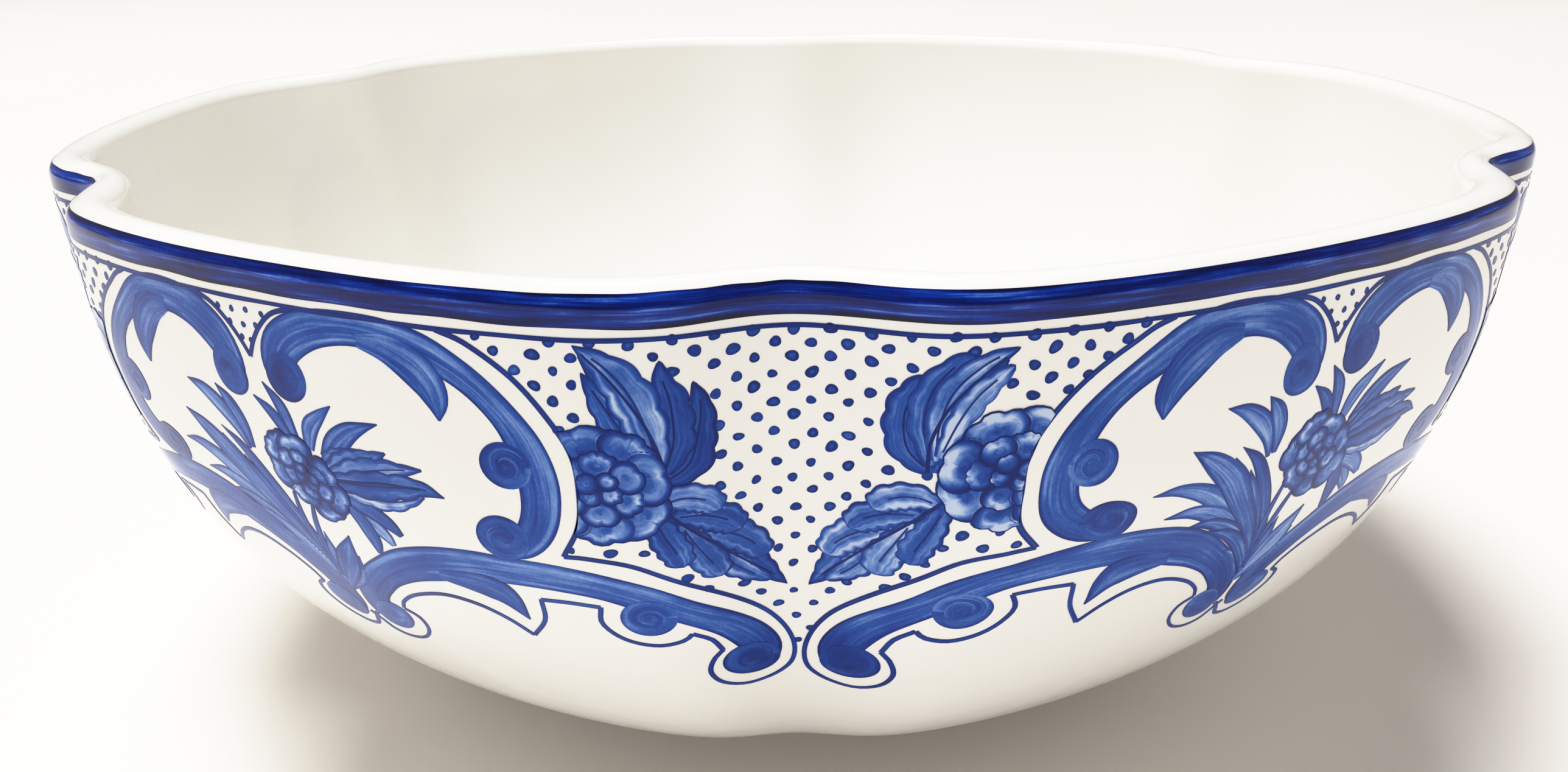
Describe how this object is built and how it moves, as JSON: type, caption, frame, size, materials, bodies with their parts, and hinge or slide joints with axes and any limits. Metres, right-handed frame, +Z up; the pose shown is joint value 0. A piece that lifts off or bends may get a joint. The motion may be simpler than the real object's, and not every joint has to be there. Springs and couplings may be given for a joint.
{
  "type": "porcelain serving bowl",
  "caption": "Deep round serving bowl with a lobed wall, rounded lip, cobalt rim band and turned foot ring.",
  "frame": {"origin": "centre of the foot ring's standing face", "axes": "+Z up along the bowl's axis; -Y towards one of the notches between the lobes, the one that faces the viewer"},
  "size_m": [0.25, 0.2494, 0.1],
  "materials": {
    "glazed_porcelain": "glossy clear glaze over warm white porcelain",
    "bare_porcelain": "glazed sides with a wiped, bare standing face",
    "cobalt_glaze": "brushed cobalt blue under a glossy clear glaze"
  },
  "bodies": {
    "root": {"foot_ring": "bare_porcelain", "well_floor": "glazed_porcelain", "bowl_belly": "glazed_porcelain", "bowl_wall": "glazed_porcelain", "rim_lip": "glazed_porcelain", "cobalt_band": "cobalt_glaze"}
  },
  "joints": []
}
